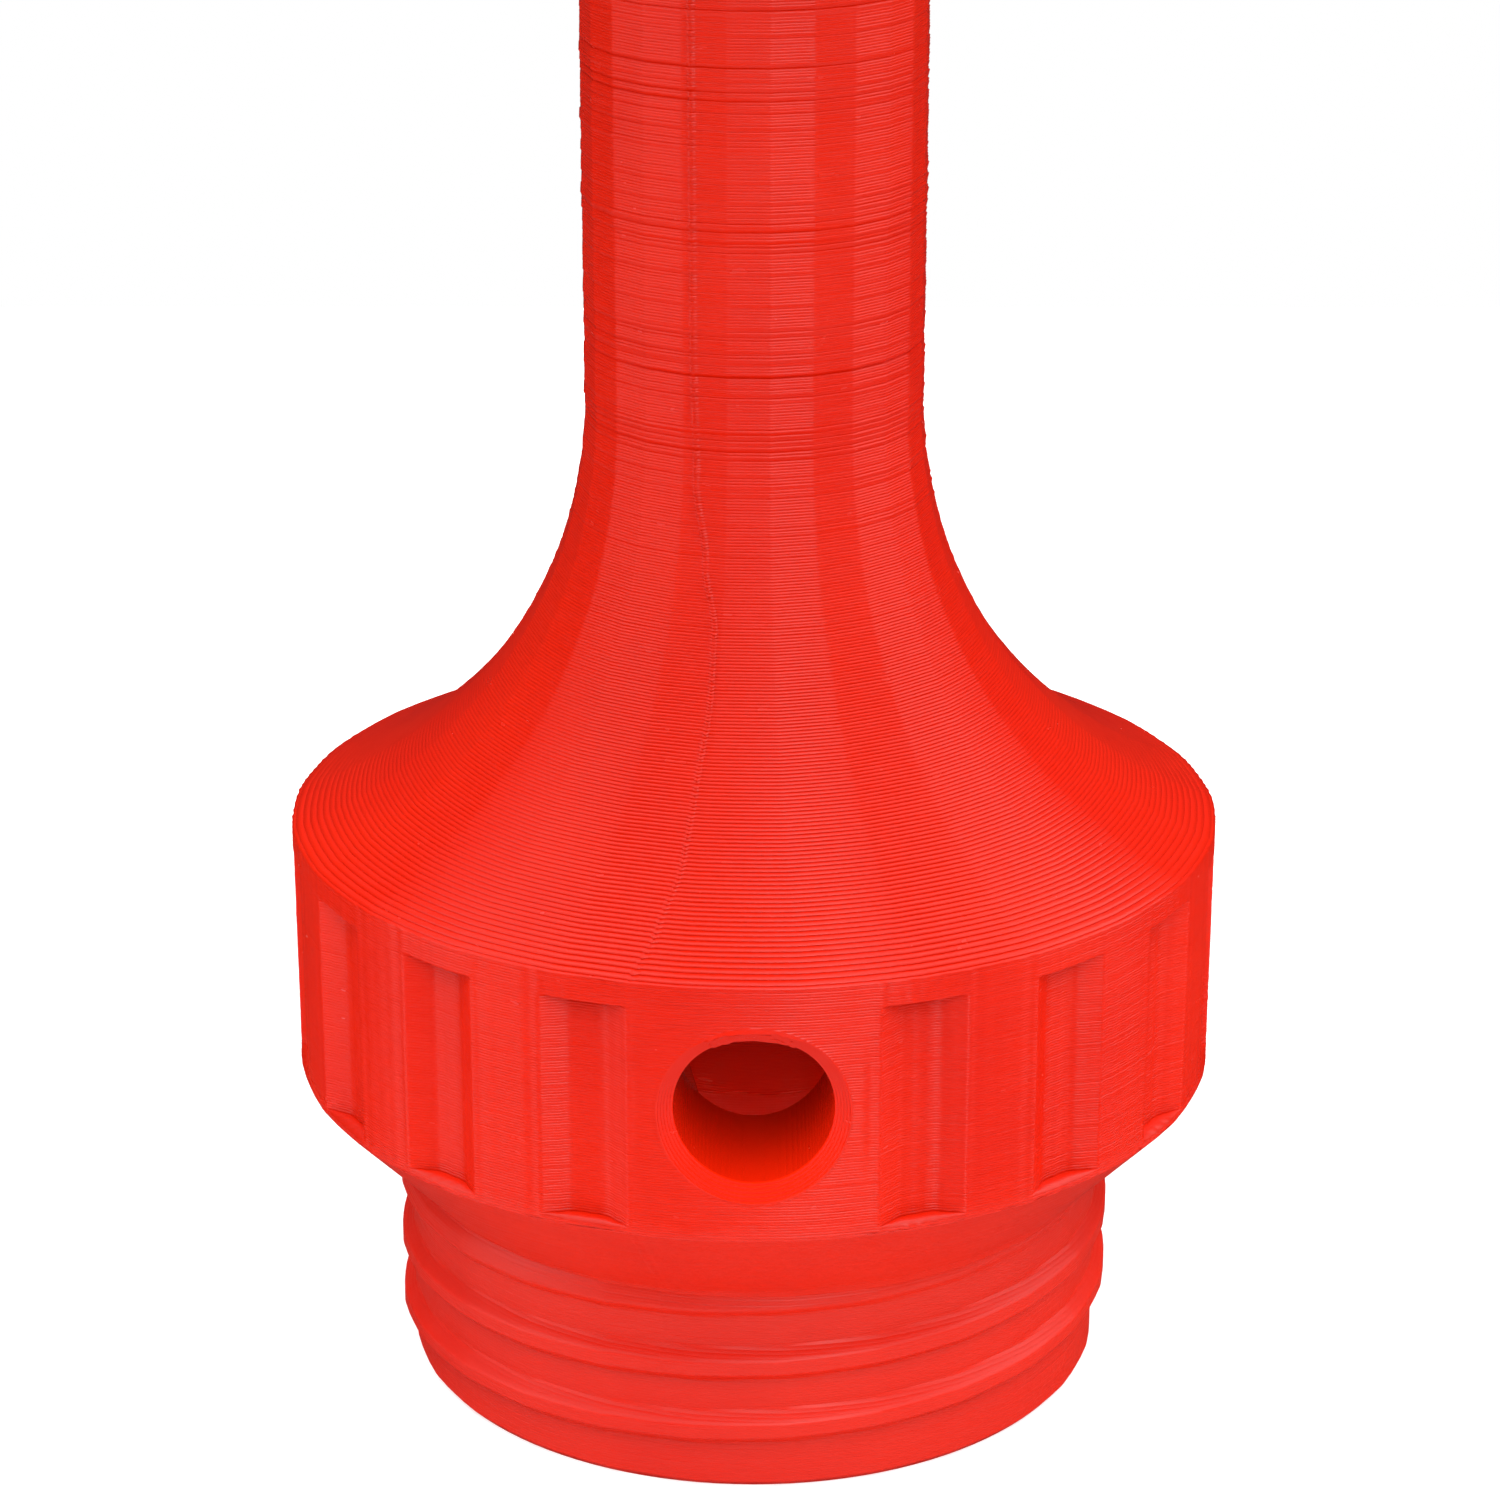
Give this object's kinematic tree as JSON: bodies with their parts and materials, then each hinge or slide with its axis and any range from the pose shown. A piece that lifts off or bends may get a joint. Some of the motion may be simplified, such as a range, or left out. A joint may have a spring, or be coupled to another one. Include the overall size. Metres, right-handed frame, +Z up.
{
  "type": "vented filling funnel",
  "caption": "Screw-in filling funnel: threaded spigot, finger-fluted collar with a side air vent, flared neck, screw-on bowl and lift-out strainer.",
  "frame": {"origin": "centre of the flat bottom face of the threaded spigot, which the funnel stands on", "axes": "+Z up along the funnel's axis, towards the bowl; the vent hole in the collar faces -Y"},
  "size_m": [0.12, 0.12, 0.204],
  "materials": {
    "printed_plastic": "layered 3D print, glossy",
    "seal_rubber": "matt black rubber",
    "mesh_steel": "woven stainless wire"
  },
  "bodies": {
    "base": {"threaded_base": "printed_plastic"},
    "gasket": {"bowl_gasket": "seal_rubber"},
    "bowl": {"funnel_bowl": "printed_plastic"},
    "strainer": {"strainer_frame": "printed_plastic", "strainer_mesh": "mesh_steel", "strainer_clamp_ring": "printed_plastic"}
  },
  "joints": [
    {"name": "bowl_rise", "type": "slide", "parent": "base", "child": "gasket", "axis": [0, 0, 1], "range_m": [0, 0.01]},
    {"name": "bowl_turn", "type": "hinge", "parent": "gasket", "child": "bowl", "pos_m": [0, 0, 0.136], "axis": [0, 0, 1], "range_deg": [0, 900]},
    {"name": "strainer_lift", "type": "slide", "parent": "bowl", "child": "strainer", "axis": [0, 0, 1], "range_m": [0, 0.05]}
  ],
  "couplings": [
    {"joint": "bowl_rise", "follows": "bowl_turn", "m_per_rad": 0.00063662}
  ]
}
